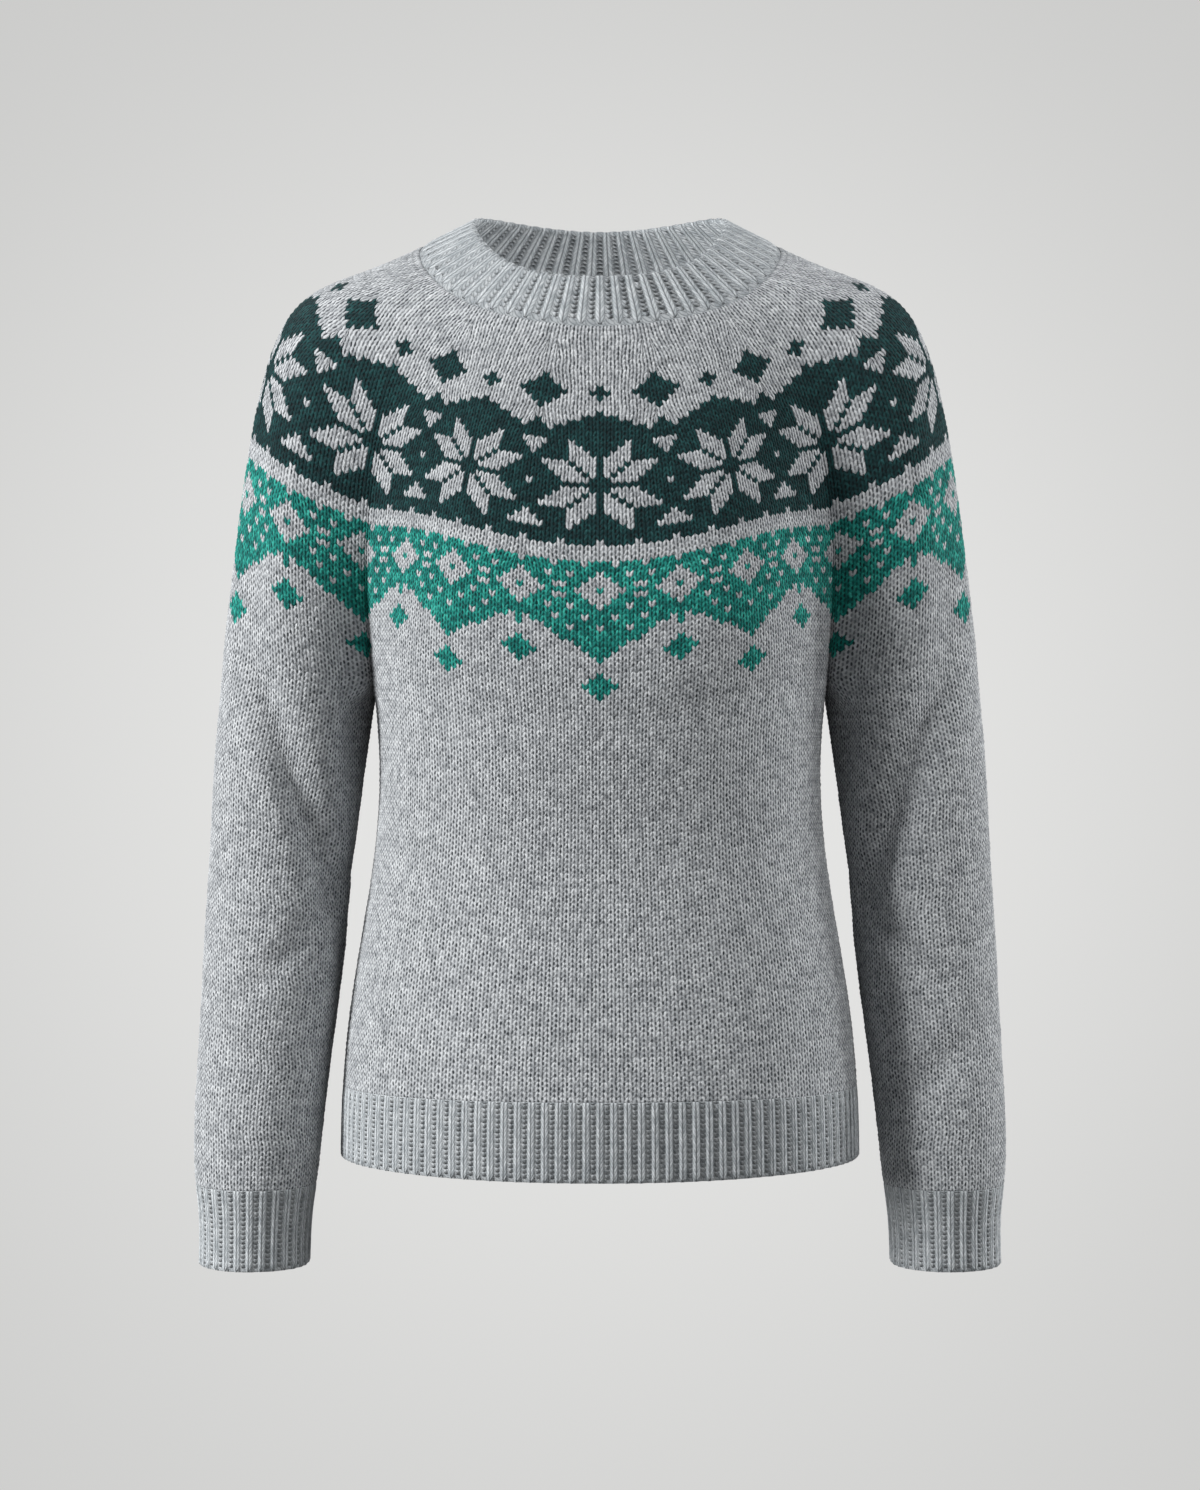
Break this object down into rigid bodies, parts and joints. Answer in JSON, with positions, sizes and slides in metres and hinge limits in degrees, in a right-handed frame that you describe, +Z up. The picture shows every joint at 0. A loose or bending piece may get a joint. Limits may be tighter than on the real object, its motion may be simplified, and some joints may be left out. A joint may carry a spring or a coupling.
{
  "type": "nordic yoke sweater",
  "caption": "Knitted crew-neck sweater with a round patterned yoke, long sleeves and ribbed neck, hem and cuffs, filled out as if worn.",
  "frame": {"origin": "on the middle line between the shoulders, at the height where the yoke rests on them", "axes": "+Z up, the front faces -Y, and the wearer's left arm is at +X"},
  "size_m": [0.5634, 0.2524, 0.7348],
  "materials": {
    "yoke_colourwork": "stranded wool knit in dark green, teal and light grey",
    "grey_heather": "grey heather wool in plain knit",
    "grey_rib": "grey heather wool in one by one rib"
  },
  "bodies": {
    "root": {"yoke": "yoke_colourwork", "body": "grey_heather", "sleeve_left": "grey_heather", "sleeve_right": "grey_heather", "neckband": "grey_rib", "hem_rib": "grey_rib", "cuff_left": "grey_rib", "cuff_right": "grey_rib"}
  },
  "joints": []
}
